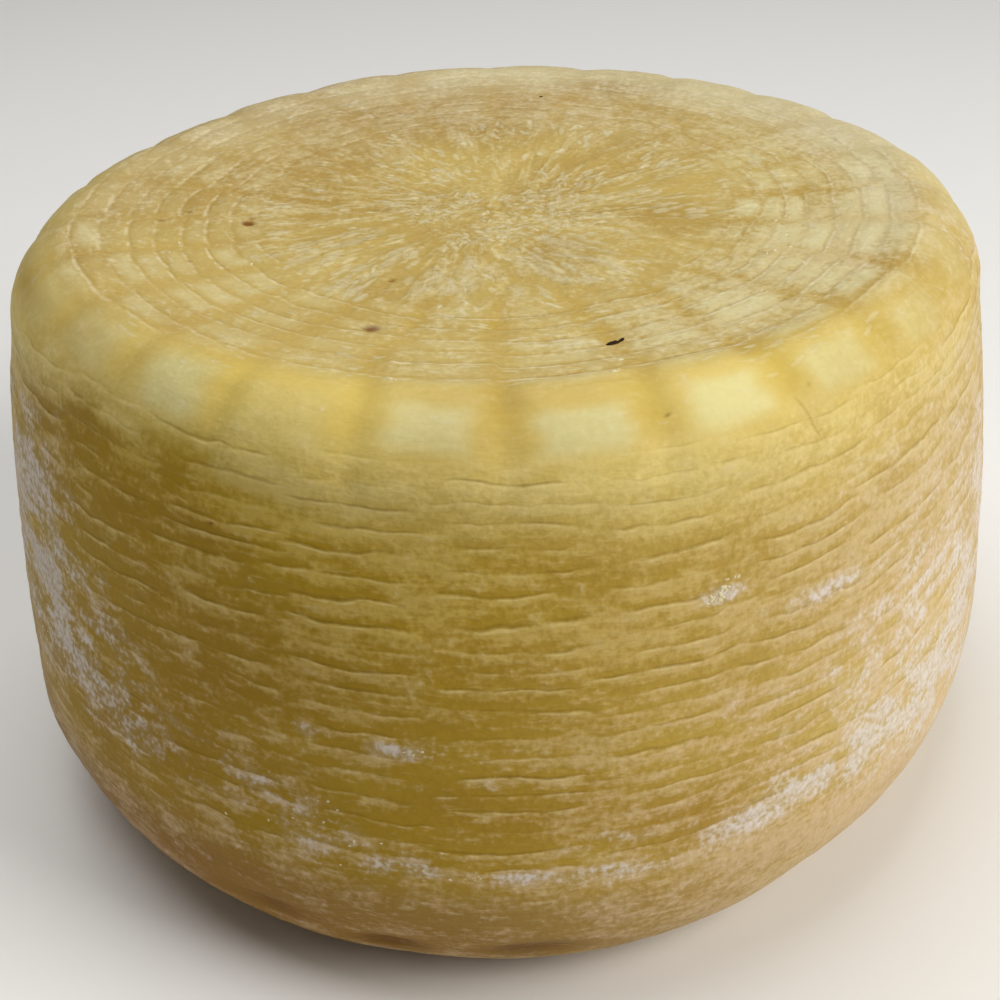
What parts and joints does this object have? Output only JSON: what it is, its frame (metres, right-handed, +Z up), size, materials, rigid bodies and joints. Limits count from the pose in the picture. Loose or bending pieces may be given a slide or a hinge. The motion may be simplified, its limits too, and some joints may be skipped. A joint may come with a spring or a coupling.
{
  "type": "cheese wheel",
  "caption": "Whole uncut wheel of hard sheep's milk cheese, basket pressed, with lobed shoulders, rush marks round the wall and a sunken woven face",
  "frame": {"origin": "middle of the flat base the wheel rests on, centred on the wheel's outline", "axes": "+Z up through the face; -Y towards the side seen from the front; +X to the right"},
  "size_m": [0.2062, 0.209, 0.1212],
  "materials": {
    "rind": "satin",
    "crumb": "matte",
    "dark_fleck": "matte"
  },
  "bodies": {
    "root": {"cheese_wheel": "rind"}
  },
  "joints": []
}
